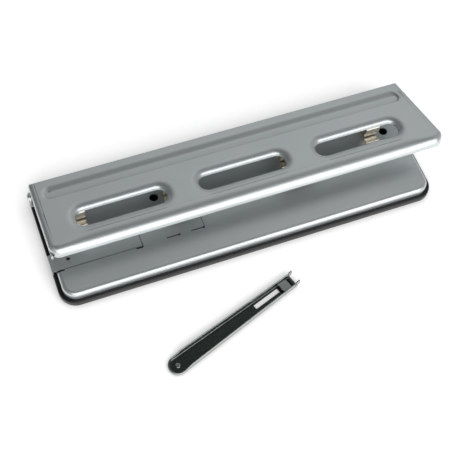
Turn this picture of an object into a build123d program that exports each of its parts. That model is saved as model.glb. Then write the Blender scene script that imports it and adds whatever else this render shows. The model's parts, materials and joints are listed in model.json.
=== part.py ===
"""Manual strip binding machine: a desktop punch for four-pin strips, with its loose hand tool.

Millimetres, +Z up, X along the machine, front towards -Y. The origin is the centre of the base on the table.
"""

from build123d import *
import math
import os

# Base: a black tray with a silver cover sunk inside its rim.
BASE_LENGTH = 317.0
BASE_DEPTH = 110.0
BASE_CORNER = 14.0
TRAY_BOTTOM = 0.8
TRAY_FLOOR = 2.8
TRAY_HEIGHT = 6.5
TRAY_WALL = 3.0
TRAY_RIM_ROUND = 1.4
TRAY_FOOT_CHAMFER = 0.6
FOOT_RADIUS = 8.0
FOOT_TOP = 2.0
FOOT_CHAMFER = 0.4
FOOT_X = 140.0
FOOT_Y = 38.0
GAP = 0.3
OVERCUT = 1.0
COVER_TOP = 13.0
COVER_SHEET = 1.2
COVER_ROLL = 3.2
COVER_SKIRT_BOTTOM = 3.5

# Punch pattern: holes 3 in, 4 in and 3 in apart, 10 in over all.
INCH = 25.4
PUNCH_X = (-5.0 * INCH, -2.0 * INCH, 2.0 * INCH, 5.0 * INCH)
PUNCH_Y = 13.2
PIN_RADIUS = 1.6
PIN_CLEARANCE = 0.04
CHIP_HOLE_RADIUS = 2.4
TOOLING_HOLE_RADIUS = 3.65
TOOLING_HOLE_X = (-140.0, -64.0, 64.0, 140.0)
TOOLING_HOLE_Y = 11.7

# Punch frame: a die foot, a paper throat and a guide block, as wide as the cap above it.
FRAME_WIDTH = 12.0
FOOT_FRONT_Y = 4.3
FRAME_FRONT_Y = 9.8
FRAME_BACK_Y = 19.2
BACKSTOP_Y = 18.0
DIE_TOP = 14.2
DIE_LIP_ROUND = 0.7
THROAT_TOP = 16.0
GUIDE_TOP = 18.5
FRONT_WALL_TOP = 21.0
REAR_WALL_TOP = 22.0
FRAME_SHEET = 1.0

# Punch cap, which the lever pushes down.
CAP_FRONT_Y = 8.5
CAP_BACK_Y = 16.5
CAP_TOP = 27.33
CAP_SHEET = 1.2
CAP_ROUND = 1.1
CAP_SKIRT_BOTTOM = 20.95
CAP_REAR_BOTTOM = 24.0
PIN_TIP = 16.3
PIN_NOTCH_RADIUS = 1.5
PIN_NOTCH_BELOW = 0.9
SPRING_RADIUS = 2.0
SPRING_WIRE = 0.45
SPRING_TURNS = 4

# Rail under the cover that ties the punch frames together.
RAIL_HALF_LENGTH = 135.5
RAIL_FRONT_Y = 0.0
RAIL_BACK_Y = 24.0
RAIL_BOTTOM = 9.8
RAIL_FLANGE_BOTTOM = 8.4
RAIL_FLANGE = 2.0
RAIL_HOLE_CLEARANCE = 0.6
RIVET_RADIUS = 1.2
RIVET_HEAD_RADIUS = 2.0
RIVET_OFFSET_X = 4.2
RIVET_Y = 15.6
RIVET_HEAD = 0.8

# Hinge of the lever, and its bearing.
HINGE_Y = 38.5
HINGE_Z = 19.7
HINGE_PIN_RADIUS = 2.4
HINGE_PIN_BORE = 1.9
HINGE_CLEARANCE = 0.06
EAR_RADIUS = 4.3
EAR_SHEET = 1.5
EAR_OUTER_X = 158.6
PIN_HEAD_RADIUS = 3.3
PIN_HEAD = 1.0
PIN_HEAD_CHAMFER = 0.4
PIN_BEYOND_CLIP = 0.6
CLIP_RADIUS = 3.9
CLIP_THICKNESS = 0.8
CLIP_MOUTH = 1.6
EAR_FOOT_INNER_X = 138.0
EAR_FOOT_HALF_DEPTH = 5.0
EAR_RIVET_X = (147.0, 141.5)
EAR_RIVET_HEAD_RADIUS = 2.6
EAR_RIVET_HEAD = 1.2
EAR_RIVET_ROUND = 1.0

# Lever, drawn flat about its hinge axis and then tilted to its rest angle.
LEVER_REST_TILT = 9.1
LEVER_SHEET = 1.5
LEVER_TOP = 8.0
LEVER_SKIRT_BOTTOM = -0.6
LEVER_REAR_SKIRT_BOTTOM = 1.5
LEVER_REAR = 7.6
LEVER_FRONT = -64.9
LEVER_FRONT_BEND = 6.5
LEVER_REAR_BEND = 1.8
LEVER_LEAST_BEND = 0.3
LEVER_LEFT = -156.7
LEVER_RIGHT_REAR = 166.0
LEVER_RIGHT_FRONT = 176.5
LEVER_FRONT_CORNER = 8.0
LEVER_REAR_CORNER = 2.0
LUG_SHELF = 11.0
LUG_CLEARANCE = 0.4

# Three flanged windows in the lever, and the groove behind them.
WINDOW_X = (-93.2, 7.6, 108.4)
WINDOW_LENGTH = 73.4
WINDOW_WIDTH = 15.7
WINDOW_CORNER = 7.2
WINDOW_Y = -38.35
WINDOW_BEND = 4.4
WINDOW_INNER_BEND = 2.9
WINDOW_LIP_BOTTOM = 3.3
GROOVE_LEFT = -146.0
GROOVE_RIGHT = 160.0
GROOVE_FRONT = -12.9
GROOVE_BACK = -2.9
GROOVE_DEPTH = 2.0

# Stiffener and buffers under the lever, and the pads that its rear edge rests on.
STIFFENER_FRONT = -58.9
STIFFENER_BACK = -52.3
STIFFENER_LEFT = -148.0
STIFFENER_RIGHT = 158.0
STIFFENER_SHEET = 1.2
STIFFENER_BOTTOM = 1.5
BUFFER_X = (-42.8, 58.0)
BUFFER_Y = -40.5
BUFFER_RADIUS = 5.0
BUFFER_BOTTOM = -5.7
BUFFER_ROUND = 1.5
BUFFER_STUD_RADIUS = 1.5
BUFFER_STUD = 6.0
STOP_PAD_X = (-104.0, 0.0, 104.0)
STOP_PAD_TOP = 19.65
STOP_PAD_HALF_LENGTH = 7.0
STOP_PAD_Y = (41.6, 46.8)
STOP_PAD_CORNER = 1.5

# Edge guide: a plate that slides to the left in the cover, with a fence under the lever.
GUIDE_FRONT_Y = -27.0
GUIDE_BACK_Y = -12.3
GUIDE_RIGHT_X = -86.0
GUIDE_WRAP_X = -159.0
GUIDE_WRAP_BOTTOM = 7.1
GUIDE_BEND = 1.1
GUIDE_FRONT_GAP = 0.7
GUIDE_END_GAP = 0.6
GUIDE_ARM_LEFT_X = -144.7
GUIDE_FENCE_X = -139.7
GUIDE_ARM_BACK_Y = 2.0
GUIDE_FENCE_FRONT_Y = -6.0
GUIDE_FENCE_TOP = 19.0
GUIDE_TRAVEL = 8.8
GUIDE_HOLE_X = -144.0
GUIDE_HOLE_Y = -19.5
GUIDE_HOLE_RADIUS = 1.6
TONGUE_FRONT_Y = -22.5
TONGUE_BACK_Y = -16.5
TONGUE_RIGHT_X = -40.0
TONGUE_BOTTOM = 10.4
TONGUE_STEP = 4.0
TONGUE_CLEARANCE = 1.0
CHANNEL_LEFT_X = -150.0
CHANNEL_RIGHT_X = -30.0
CHANNEL_FRONT_Y = -31.0
CHANNEL_BACK_Y = -8.0
CHANNEL_BOTTOM = 8.9
CHANNEL_ROOM_FRONT_Y = -29.2
RELIEF_LEFT_X = (-155.5, -149.0)
RELIEF_LEFT_DEPTH = 1.6
RELIEF_RIGHT_X = (-91.5, -85.4)
RELIEF_RIGHT_DEPTH = 2.0
SLIT_Y = -26.4
SLIT_WIDTH = 0.9
SLITS_X = ((-66.0, -54.5), (-45.5, -34.0))
SLIT_EYE_RADIUS = 1.0
SLIT_RETURN_WIDTH = 0.4
SLIT_RETURN_Y = -16.0

# Loose hand tool: a plated channel with a round end, lying in front of the machine.
TOOL_X = -90.9
TOOL_Y = -126.3
TOOL_ANGLE = 19.0
TOOL_LENGTH = 117.0
TOOL_ROUND_RADIUS = 7.7
TOOL_END_HALF_WIDTH = 5.4
TOOL_HEIGHT = 6.5
TOOL_SHEET = 1.0
TOOL_SLOT_START = 76.5
TOOL_SLOT_END = 100.5
TOOL_SLOT_Y = (-0.9, 2.9)
TOOL_BLOCK_START = 102.0
TOOL_BLOCK_END = 110.0
TOOL_BLOCK_TOP = 4.0
TOOL_BAR_X = 113.0
TOOL_BAR_Z = 4.3
TOOL_BAR_RADIUS = 1.0
TOOL_BAR_OVERHANG = 0.3
TOOL_PRONG_START = 115.0
TOOL_PRONG_TOP = 8.6
TOOL_PRONG_BOTTOM = 2.5
TOOL_BLOCK_ROUND = 0.6
TOOL_BLOCK_GAP = 0.05
TOOL_RIVET_RADIUS = 2.2
TOOL_RIVET_HEAD = 1.0
TOOL_RIVET_ROUND = 0.8
TOOL_RIVET_RECESS = 0.2


def block(x0, x1, y0, y1, z0, z1):
    """A box between two opposite corners."""
    return Pos((x0 + x1) / 2, (y0 + y1) / 2, (z0 + z1) / 2) * Box(x1 - x0, y1 - y0, z1 - z0)


def rounded_slab(length, depth, corner, z0, z1):
    """A rectangle with round corners, centred on the origin, from z0 up to z1."""
    outline = RectangleRounded(length, depth, corner)
    return Pos(0, 0, z0) * extrude(outline, z1 - z0)


def disc(x, y, radius, z0, z1):
    """An upright cylinder from z0 to z1."""
    return Pos(x, y, (z0 + z1) / 2) * Cylinder(radius, z1 - z0)


def cross_rod(x0, x1, y, z, radius):
    """A cylinder lying along X."""
    return Pos((x0 + x1) / 2, y, z) * Rot(0, 90, 0) * Cylinder(radius, x1 - x0)


def top_edges(shape, z):
    """The edges of a shape that lie wholly at height z."""
    return shape.edges().filter_by_position(Axis.Z, z - 0.001, z + 0.001)


def mirrored_x(shape):
    return mirror(shape, about=Plane.YZ)


def on_lever(shape):
    """Moves a shape drawn flat about the hinge axis to the lever's rest position."""
    return Pos(0, HINGE_Y, HINGE_Z) * Rot(-LEVER_REST_TILT, 0, 0) * shape


# ---------------------------------------------------------------- base


def base_tray():
    inner_length = BASE_LENGTH - 2 * TRAY_WALL
    inner_depth = BASE_DEPTH - 2 * TRAY_WALL
    tray = rounded_slab(BASE_LENGTH, BASE_DEPTH, BASE_CORNER, TRAY_BOTTOM, TRAY_HEIGHT)
    tray = fillet(top_edges(tray, TRAY_HEIGHT), TRAY_RIM_ROUND)
    tray = chamfer(top_edges(tray, TRAY_BOTTOM), TRAY_FOOT_CHAMFER)
    inner_corner = BASE_CORNER - TRAY_WALL
    tray -= rounded_slab(inner_length, inner_depth, inner_corner, TRAY_FLOOR, TRAY_HEIGHT + OVERCUT)
    for x, y in foot_places():
        tray -= disc(x, y, FOOT_RADIUS, TRAY_BOTTOM - OVERCUT, FOOT_TOP)
    return tray


def foot_places():
    corners = [(sx * FOOT_X, sy * FOOT_Y) for sx in (-1, 1) for sy in (-1, 1)]
    return corners + [(0.0, 0.0)]


def rubber_feet():
    feet = []
    for x, y in foot_places():
        foot = disc(x, y, FOOT_RADIUS, 0, FOOT_TOP)
        feet.append(chamfer(top_edges(foot, 0), FOOT_CHAMFER))
    return feet


def base_cover():
    length = BASE_LENGTH - 2 * (TRAY_WALL + GAP)
    depth = BASE_DEPTH - 2 * (TRAY_WALL + GAP)
    corner = BASE_CORNER - TRAY_WALL - GAP
    outer = rounded_slab(length, depth, corner, COVER_SKIRT_BOTTOM, COVER_TOP)
    outer = fillet(top_edges(outer, COVER_TOP), COVER_ROLL)
    inner_top = COVER_TOP - COVER_SHEET
    inner = rounded_slab(
        length - 2 * COVER_SHEET,
        depth - 2 * COVER_SHEET,
        corner - COVER_SHEET,
        COVER_SKIRT_BOTTOM - OVERCUT,
        inner_top,
    )
    inner = fillet(top_edges(inner, inner_top), COVER_ROLL - COVER_SHEET)
    cover = outer - inner
    low, high = inner_top - OVERCUT, COVER_TOP + OVERCUT
    for x in PUNCH_X:
        cover -= disc(x, PUNCH_Y, CHIP_HOLE_RADIUS, low, high)
        for side in (-1, 1):
            cover -= disc(x + side * RIVET_OFFSET_X, RIVET_Y, RIVET_RADIUS, low, high)
    for x in TOOLING_HOLE_X:
        cover -= disc(x, TOOLING_HOLE_Y, TOOLING_HOLE_RADIUS, low, high)
    for side in (-1, 1):
        for x in EAR_RIVET_X:
            cover -= disc(side * x, HINGE_Y, RIVET_RADIUS, low, high)
    cover -= guide_cutout()
    for slit in lanced_slits():
        cover -= slit
    return cover


def guide_cutout():
    """The space in the cover where the edge guide lies and slides."""
    low = COVER_TOP - COVER_SHEET - OVERCUT
    high = COVER_TOP + OVERCUT
    main = block(
        -BASE_LENGTH / 2,
        GUIDE_RIGHT_X + GUIDE_END_GAP,
        GUIDE_FRONT_Y - GUIDE_FRONT_GAP,
        GUIDE_BACK_Y + GAP,
        COVER_SKIRT_BOTTOM + 2 * OVERCUT,
        high,
    )
    arm = block(
        GUIDE_ARM_LEFT_X - GUIDE_TRAVEL - GAP,
        GUIDE_FENCE_X + GAP,
        GUIDE_BACK_Y - GAP,
        GUIDE_ARM_BACK_Y + GAP,
        low,
        high,
    )
    relief_left = block(*RELIEF_LEFT_X, GUIDE_FRONT_Y - RELIEF_LEFT_DEPTH, GUIDE_FRONT_Y, low, high)
    relief_right = block(*RELIEF_RIGHT_X, GUIDE_FRONT_Y - RELIEF_RIGHT_DEPTH, GUIDE_FRONT_Y, low, high)
    return main + arm + relief_left + relief_right


def lanced_slits():
    """Two lanced slits to the right of the guide, each with an eye, and a short return at the end."""
    low = COVER_TOP - COVER_SHEET - OVERCUT
    high = COVER_TOP + OVERCUT
    slits = []
    for left, right in SLITS_X:
        slits.append(block(left, right, SLIT_Y - SLIT_WIDTH, SLIT_Y, low, high))
        slits.append(disc(right - SLIT_EYE_RADIUS, SLIT_Y - SLIT_WIDTH / 2, SLIT_EYE_RADIUS, low, high))
    end = SLITS_X[-1][1]
    slits.append(block(end - SLIT_RETURN_WIDTH, end, SLIT_Y - SLIT_WIDTH, SLIT_RETURN_Y, low, high))
    return slits


def die_rail():
    top = COVER_TOP - COVER_SHEET
    ends = (-RAIL_HALF_LENGTH, RAIL_HALF_LENGTH)
    low, high = RAIL_BOTTOM - OVERCUT, top + OVERCUT
    rail = block(*ends, RAIL_FRONT_Y, RAIL_BACK_Y, RAIL_BOTTOM, top)
    rail += block(*ends, RAIL_BACK_Y - RAIL_FLANGE, RAIL_BACK_Y, RAIL_FLANGE_BOTTOM, RAIL_BOTTOM)
    for x in PUNCH_X:
        rail -= disc(x, PUNCH_Y, CHIP_HOLE_RADIUS, low, high)
        for side in (-1, 1):
            rail -= disc(x + side * RIVET_OFFSET_X, RIVET_Y, RIVET_RADIUS, low, high)
    for x in TOOLING_HOLE_X[1:3]:
        rail -= disc(x, TOOLING_HOLE_Y, TOOLING_HOLE_RADIUS + RAIL_HOLE_CLEARANCE, low, high)
    return rail


# ---------------------------------------------------------------- punch units


def punch_bracket(x):
    """A die foot with a front lip, a rear wall, and a guide block over the paper throat."""
    left = x - FRAME_WIDTH / 2
    right = x + FRAME_WIDTH / 2
    frame = block(left, right, FOOT_FRONT_Y, FRAME_BACK_Y, COVER_TOP, DIE_TOP)
    frame = fillet(frame.edges().filter_by(Axis.X).group_by(Axis.Y)[0].sort_by(Axis.Z)[-1:], DIE_LIP_ROUND)
    frame += block(left, right, BACKSTOP_Y, FRAME_BACK_Y, DIE_TOP, REAR_WALL_TOP)
    frame += block(left, right, FRAME_FRONT_Y, BACKSTOP_Y, THROAT_TOP, GUIDE_TOP)
    frame += block(left, right, FRAME_FRONT_Y, FRAME_FRONT_Y + FRAME_SHEET, GUIDE_TOP, FRONT_WALL_TOP)
    low = COVER_TOP - OVERCUT
    frame -= disc(x, PUNCH_Y, PIN_RADIUS + PIN_CLEARANCE, low, GUIDE_TOP + OVERCUT)
    for side in (-1, 1):
        frame -= disc(x + side * RIVET_OFFSET_X, RIVET_Y, RIVET_RADIUS, low, DIE_TOP + GAP)
    return frame


def punch_cap(x):
    """An inverted channel with a long front skirt and a short rear one."""
    left = x - FRAME_WIDTH / 2
    right = x + FRAME_WIDTH / 2
    cap = block(left, right, CAP_FRONT_Y, CAP_BACK_Y, CAP_SKIRT_BOTTOM, CAP_TOP)
    long_edges = top_edges(cap, CAP_TOP).filter_by(Axis.X)
    cap = fillet(long_edges, CAP_ROUND)
    front_inner = CAP_FRONT_Y + FRAME_SHEET
    back_inner = CAP_BACK_Y - FRAME_SHEET
    left, right, low = left - OVERCUT, right + OVERCUT, CAP_SKIRT_BOTTOM - OVERCUT
    cap -= block(left, right, front_inner, back_inner, low, CAP_TOP - CAP_SHEET)
    cap -= block(left, right, back_inner - OVERCUT, CAP_BACK_Y + OVERCUT, low, CAP_REAR_BOTTOM)
    return cap - disc(x, PUNCH_Y, PIN_RADIUS, CAP_TOP - CAP_SHEET - OVERCUT, CAP_TOP + OVERCUT)


def punch_pin(x):
    """A round pin with a hollow-ground tip, flush with the top of its cap."""
    pin = disc(x, PUNCH_Y, PIN_RADIUS, PIN_TIP, CAP_TOP)
    notch_z = PIN_TIP - PIN_NOTCH_BELOW
    notch = cross_rod(x - FRAME_WIDTH, x + FRAME_WIDTH, PUNCH_Y, notch_z, PIN_NOTCH_RADIUS)
    return pin - notch


def return_spring(x):
    """A compression spring around the pin, from the guide block up to the cap."""
    top = CAP_TOP - CAP_SHEET
    pitch = (top - GUIDE_TOP) / SPRING_TURNS
    height = top - GUIDE_TOP
    helix = Helix(pitch=pitch, height=height - 2 * SPRING_WIRE, radius=SPRING_RADIUS)
    section = Plane(origin=helix @ 0, z_dir=helix % 0) * Circle(SPRING_WIRE / 2)
    coil = sweep(section, path=helix, is_frenet=True)
    return Pos(x, PUNCH_Y, GUIDE_TOP + SPRING_WIRE) * coil


def bracket_rivets():
    rivets = []
    for x in PUNCH_X:
        for side in (-1, 1):
            place = x + side * RIVET_OFFSET_X
            shank = disc(place, RIVET_Y, RIVET_RADIUS, RAIL_BOTTOM - RIVET_HEAD, DIE_TOP)
            head = disc(place, RIVET_Y, RIVET_HEAD_RADIUS, RAIL_BOTTOM - RIVET_HEAD, RAIL_BOTTOM)
            rivets.append(shank + head)
    return rivets


# ---------------------------------------------------------------- hinge


def hinge_bracket_left():
    """An upright ear on a foot that is riveted to the cover."""
    foot = block(
        -EAR_OUTER_X,
        -EAR_FOOT_INNER_X,
        HINGE_Y - EAR_FOOT_HALF_DEPTH,
        HINGE_Y + EAR_FOOT_HALF_DEPTH,
        COVER_TOP,
        COVER_TOP + EAR_SHEET,
    )
    upright = block(
        -EAR_OUTER_X,
        -EAR_OUTER_X + EAR_SHEET,
        HINGE_Y - EAR_RADIUS,
        HINGE_Y + EAR_RADIUS,
        COVER_TOP,
        HINGE_Z,
    )
    ear = cross_rod(-EAR_OUTER_X, -EAR_OUTER_X + EAR_SHEET, HINGE_Y, HINGE_Z, EAR_RADIUS)
    bracket = foot + upright + ear
    bore_end = -EAR_OUTER_X + EAR_SHEET + OVERCUT
    bracket -= cross_rod(-EAR_OUTER_X - OVERCUT, bore_end, HINGE_Y, HINGE_Z, HINGE_PIN_RADIUS)
    for x in EAR_RIVET_X:
        bracket -= disc(-x, HINGE_Y, RIVET_RADIUS, COVER_TOP - OVERCUT, COVER_TOP + EAR_SHEET + OVERCUT)
    return bracket


def hinge_rivets():
    rivets = []
    under = COVER_TOP - COVER_SHEET
    top = COVER_TOP + EAR_SHEET
    for side in (-1, 1):
        for x in EAR_RIVET_X:
            shank = disc(side * x, HINGE_Y, RIVET_RADIUS, under - RIVET_HEAD, top)
            lower = disc(side * x, HINGE_Y, RIVET_HEAD_RADIUS, under - RIVET_HEAD, under)
            head = disc(side * x, HINGE_Y, EAR_RIVET_HEAD_RADIUS, top, top + EAR_RIVET_HEAD)
            head = fillet(top_edges(head, top + EAR_RIVET_HEAD), EAR_RIVET_ROUND)
            rivets.append(shank + lower + head)
    return rivets


def hinge_pin_left():
    """A tubular pin with a head outside the ear."""
    head_outer = -EAR_OUTER_X - PIN_HEAD
    shaft_end = LEVER_LEFT + LEVER_SHEET + GAP + CLIP_THICKNESS + PIN_BEYOND_CLIP
    pin = cross_rod(-EAR_OUTER_X, shaft_end, HINGE_Y, HINGE_Z, HINGE_PIN_RADIUS)
    head = cross_rod(head_outer, -EAR_OUTER_X, HINGE_Y, HINGE_Z, PIN_HEAD_RADIUS)
    outer_edges = head.edges().filter_by_position(Axis.X, head_outer - 0.01, head_outer + 0.01)
    head = chamfer(outer_edges, PIN_HEAD_CHAMFER)
    bore = cross_rod(head_outer - OVERCUT, shaft_end + OVERCUT, HINGE_Y, HINGE_Z, HINGE_PIN_BORE)
    return pin + head - bore


def hinge_clips():
    """A retaining ring on the inner end of each hinge pin."""
    inner = LEVER_LEFT + LEVER_SHEET + GAP
    outer = inner + CLIP_THICKNESS
    ring = cross_rod(inner, outer, HINGE_Y, HINGE_Z, CLIP_RADIUS)
    ring -= cross_rod(inner - OVERCUT, outer + OVERCUT, HINGE_Y, HINGE_Z, HINGE_PIN_RADIUS)
    mouth = (HINGE_Y - CLIP_MOUTH / 2, HINGE_Y + CLIP_MOUTH / 2)
    depth = (HINGE_Z - 2 * CLIP_RADIUS, HINGE_Z - HINGE_PIN_RADIUS / 2)
    ring -= block(inner - OVERCUT, outer + OVERCUT, *mouth, *depth)
    return [ring, mirrored_x(ring)]


def rear_stop_pads():
    pads = []
    for x in STOP_PAD_X:
        ends = (x - STOP_PAD_HALF_LENGTH, x + STOP_PAD_HALF_LENGTH)
        pad = block(*ends, *STOP_PAD_Y, COVER_TOP, STOP_PAD_TOP)
        pads.append(fillet(pad.edges().filter_by(Axis.Z), STOP_PAD_CORNER))
    return pads


# ---------------------------------------------------------------- lever


def lever_outline():
    """The lever's plan: square at the left, and wider at the front than at the rear on the right."""
    corners = [
        (LEVER_LEFT, LEVER_REAR),
        (LEVER_RIGHT_REAR, LEVER_REAR),
        (LEVER_RIGHT_FRONT, LEVER_FRONT),
        (LEVER_LEFT, LEVER_FRONT),
    ]
    plan = make_face(Polyline(corners, close=True))
    ordered = plan.vertices().sort_by(Axis.Y)
    plan = fillet(ordered[:2], LEVER_FRONT_CORNER)
    ordered = plan.vertices().sort_by(Axis.Y)
    return fillet(ordered[-2:], LEVER_REAR_CORNER)


def lever_section(inset):
    """Side view of the space under the lever's skin, inset by the sheet or by nothing."""
    top = LEVER_TOP - inset
    front = LEVER_FRONT + inset
    rear = LEVER_REAR - inset
    low = LEVER_SKIRT_BOTTOM - (OVERCUT if inset else 0.0)
    view = make_face(Polyline([(rear, low), (rear, top), (front, top), (front, low)], close=True))
    upper = view.vertices().group_by(Axis.Y)[-1].sort_by(Axis.X)
    view = fillet(upper[:1], LEVER_FRONT_BEND - inset)
    upper = view.vertices().group_by(Axis.Y)[-1].sort_by(Axis.X)
    view = fillet(upper[-1:], max(LEVER_REAR_BEND - inset, LEVER_LEAST_BEND))
    return Plane.YZ * view


def lever_body(inset):
    """The lever's envelope, or the hollow under it when inset by the sheet thickness."""
    half_length = LEVER_RIGHT_FRONT + OVERCUT
    prism = Pos(-half_length, 0, 0) * extrude(lever_section(inset), 2 * half_length)
    low = LEVER_SKIRT_BOTTOM - 2 * OVERCUT
    plan = lever_outline()
    if inset:
        plan = offset(plan, -inset)
    walls = Pos(0, 0, low) * extrude(plan, LEVER_TOP - low + OVERCUT)
    return prism & walls


def window(grow, z0, z1):
    """One window's rounded outline, grown outwards and extruded."""
    outline = RectangleRounded(WINDOW_LENGTH + 2 * grow, WINDOW_WIDTH + 2 * grow, WINDOW_CORNER + grow)
    return Pos(0, WINDOW_Y, z0) * extrude(outline, z1 - z0)


def groove(grow, z0, z1):
    """The groove's long outline, grown outwards and extruded."""
    length = GROOVE_RIGHT - GROOVE_LEFT + 2 * grow
    width = GROOVE_BACK - GROOVE_FRONT + 2 * grow
    outline = RectangleRounded(length, width, width / 2 - 0.1)
    middle = Pos((GROOVE_LEFT + GROOVE_RIGHT) / 2, (GROOVE_FRONT + GROOVE_BACK) / 2, z0)
    return middle * extrude(outline, z1 - z0)


def lever_plate():
    plate = lever_body(0.0) - lever_body(LEVER_SHEET) - rear_trim()
    under = LEVER_TOP - LEVER_SHEET
    for x in WINDOW_X:
        plate += Pos(x, 0, 0) * window(LEVER_SHEET, WINDOW_LIP_BOTTOM, under)
        plate -= Pos(x, 0, 0) * window(0, WINDOW_LIP_BOTTOM - OVERCUT, LEVER_TOP + OVERCUT)
    plate = round_window_rims(plate)
    floor_top = LEVER_TOP - GROOVE_DEPTH
    plate += groove(LEVER_SHEET, floor_top - LEVER_SHEET, under)
    plate -= groove(0, floor_top, LEVER_TOP + OVERCUT)
    plate += cross_rod(LEVER_LEFT, LEVER_LEFT + LEVER_SHEET, 0, 0, EAR_RADIUS)
    bore = HINGE_PIN_RADIUS + HINGE_CLEARANCE
    plate -= cross_rod(LEVER_LEFT - OVERCUT, LEVER_LEFT + 2 * LEVER_SHEET, 0, 0, bore)
    return on_lever(plate)


def rear_trim():
    """The rear skirt is cut shorter than the others, where it comes down on the stop pads."""
    return block(
        LEVER_LEFT - OVERCUT,
        LEVER_RIGHT_FRONT,
        LEVER_REAR - LEVER_SHEET,
        LEVER_REAR + OVERCUT,
        LEVER_SKIRT_BOTTOM - OVERCUT,
        LEVER_REAR_SKIRT_BOTTOM,
    )


def round_window_rims(plate):
    """Bends the sheet down into each window: a large radius above and a small one below."""
    under = LEVER_TOP - LEVER_SHEET
    half = WINDOW_WIDTH / 2
    for z, radius, grow in ((under, WINDOW_INNER_BEND, LEVER_SHEET), (LEVER_TOP, WINDOW_BEND, 0.0)):
        rims = [
            edge
            for edge in top_edges(plate, z)
            if abs(edge.center().Y - WINDOW_Y) <= half + grow + 0.01
            and any(abs(edge.center().X - x) <= WINDOW_LENGTH / 2 + grow + 0.01 for x in WINDOW_X)
        ]
        plate = fillet(rims, radius)
    return plate


def lever_lug_right():
    """A welded lug that carries the lever's right end, inside the overhang."""
    inner = -LEVER_LEFT - LEVER_SHEET
    outer = -LEVER_LEFT
    under = LEVER_TOP - LEVER_SHEET
    front = GROOVE_BACK + LEVER_SHEET + LUG_CLEARANCE
    lug = cross_rod(inner, outer, 0, 0, EAR_RADIUS)
    lug += block(inner, outer, front, EAR_RADIUS, 0, under)
    lug += block(inner - LUG_SHELF, outer, front, EAR_RADIUS, under - LEVER_SHEET, under)
    lug -= cross_rod(inner - OVERCUT, outer + OVERCUT, 0, 0, HINGE_PIN_RADIUS + HINGE_CLEARANCE)
    return on_lever(lug)


def lever_stiffener():
    """An open channel welded under the plate, between the windows and the front bend."""
    under = LEVER_TOP - LEVER_SHEET
    bar = block(STIFFENER_LEFT, STIFFENER_RIGHT, STIFFENER_FRONT, STIFFENER_BACK, STIFFENER_BOTTOM, under)
    bar -= block(
        STIFFENER_LEFT - OVERCUT,
        STIFFENER_RIGHT + OVERCUT,
        STIFFENER_FRONT + STIFFENER_SHEET,
        STIFFENER_BACK - STIFFENER_SHEET,
        STIFFENER_BOTTOM - OVERCUT,
        under - STIFFENER_SHEET,
    )
    return on_lever(bar)


def stop_buffers():
    under = LEVER_TOP - LEVER_SHEET
    buffers = []
    for x in BUFFER_X:
        rubber = disc(x, BUFFER_Y, BUFFER_RADIUS, BUFFER_BOTTOM, under)
        rubber = fillet(top_edges(rubber, BUFFER_BOTTOM), BUFFER_ROUND)
        rubber -= disc(x, BUFFER_Y, BUFFER_STUD_RADIUS, under - BUFFER_STUD, under + OVERCUT)
        buffers.append(on_lever(rubber))
    return buffers


def buffer_studs():
    under = LEVER_TOP - LEVER_SHEET
    return [on_lever(disc(x, BUFFER_Y, BUFFER_STUD_RADIUS, under - BUFFER_STUD, under)) for x in BUFFER_X]


# ---------------------------------------------------------------- edge guide


def edge_guide():
    low = COVER_TOP - COVER_SHEET
    plate = block(GUIDE_WRAP_X, GUIDE_RIGHT_X, GUIDE_FRONT_Y, GUIDE_BACK_Y, low, COVER_TOP)
    wrap = block(
        GUIDE_WRAP_X, GUIDE_WRAP_X + COVER_SHEET, GUIDE_FRONT_Y, GUIDE_BACK_Y, GUIDE_WRAP_BOTTOM, COVER_TOP
    )
    plate += wrap
    outer = plate.edges().filter_by(Axis.Y).sort_by(SortBy.DISTANCE)
    bend = [e for e in outer if e.center().X < GUIDE_WRAP_X + 0.01 and e.center().Z > COVER_TOP - 0.01]
    plate = fillet(bend, GUIDE_BEND)
    arm = block(GUIDE_ARM_LEFT_X, GUIDE_FENCE_X, GUIDE_BACK_Y, GUIDE_ARM_BACK_Y, low, COVER_TOP)
    fence = block(
        GUIDE_FENCE_X - COVER_SHEET,
        GUIDE_FENCE_X,
        GUIDE_FENCE_FRONT_Y,
        GUIDE_ARM_BACK_Y,
        COVER_TOP,
        GUIDE_FENCE_TOP,
    )
    step_left = GUIDE_RIGHT_X - TONGUE_STEP
    step = block(step_left, GUIDE_RIGHT_X, TONGUE_FRONT_Y, TONGUE_BACK_Y, TONGUE_BOTTOM, low)
    tongue = block(step_left, TONGUE_RIGHT_X, TONGUE_FRONT_Y, TONGUE_BACK_Y, TONGUE_BOTTOM, low - GAP)
    guide = plate + arm + fence + step + tongue
    return guide - disc(GUIDE_HOLE_X, GUIDE_HOLE_Y, GUIDE_HOLE_RADIUS, low - OVERCUT, COVER_TOP + OVERCUT)


def guide_channel():
    """A moulded channel under the cover: a shallow pocket for the plate, a deeper one for its tongue."""
    top = COVER_TOP - COVER_SHEET
    channel = block(CHANNEL_LEFT_X, CHANNEL_RIGHT_X, CHANNEL_FRONT_Y, CHANNEL_BACK_Y, CHANNEL_BOTTOM, top)
    plate_room = block(
        CHANNEL_LEFT_X - OVERCUT,
        GUIDE_RIGHT_X + TONGUE_STEP,
        CHANNEL_ROOM_FRONT_Y,
        CHANNEL_BACK_Y + OVERCUT,
        top - GAP,
        top + OVERCUT,
    )
    tongue_room = block(
        GUIDE_RIGHT_X - TONGUE_STEP - GUIDE_TRAVEL - TONGUE_CLEARANCE,
        TONGUE_RIGHT_X + TONGUE_CLEARANCE,
        TONGUE_FRONT_Y - GAP,
        TONGUE_BACK_Y + GAP,
        TONGUE_BOTTOM - GAP,
        top + OVERCUT,
    )
    return channel - plate_room - tongue_room


# ---------------------------------------------------------------- hand tool


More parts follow.
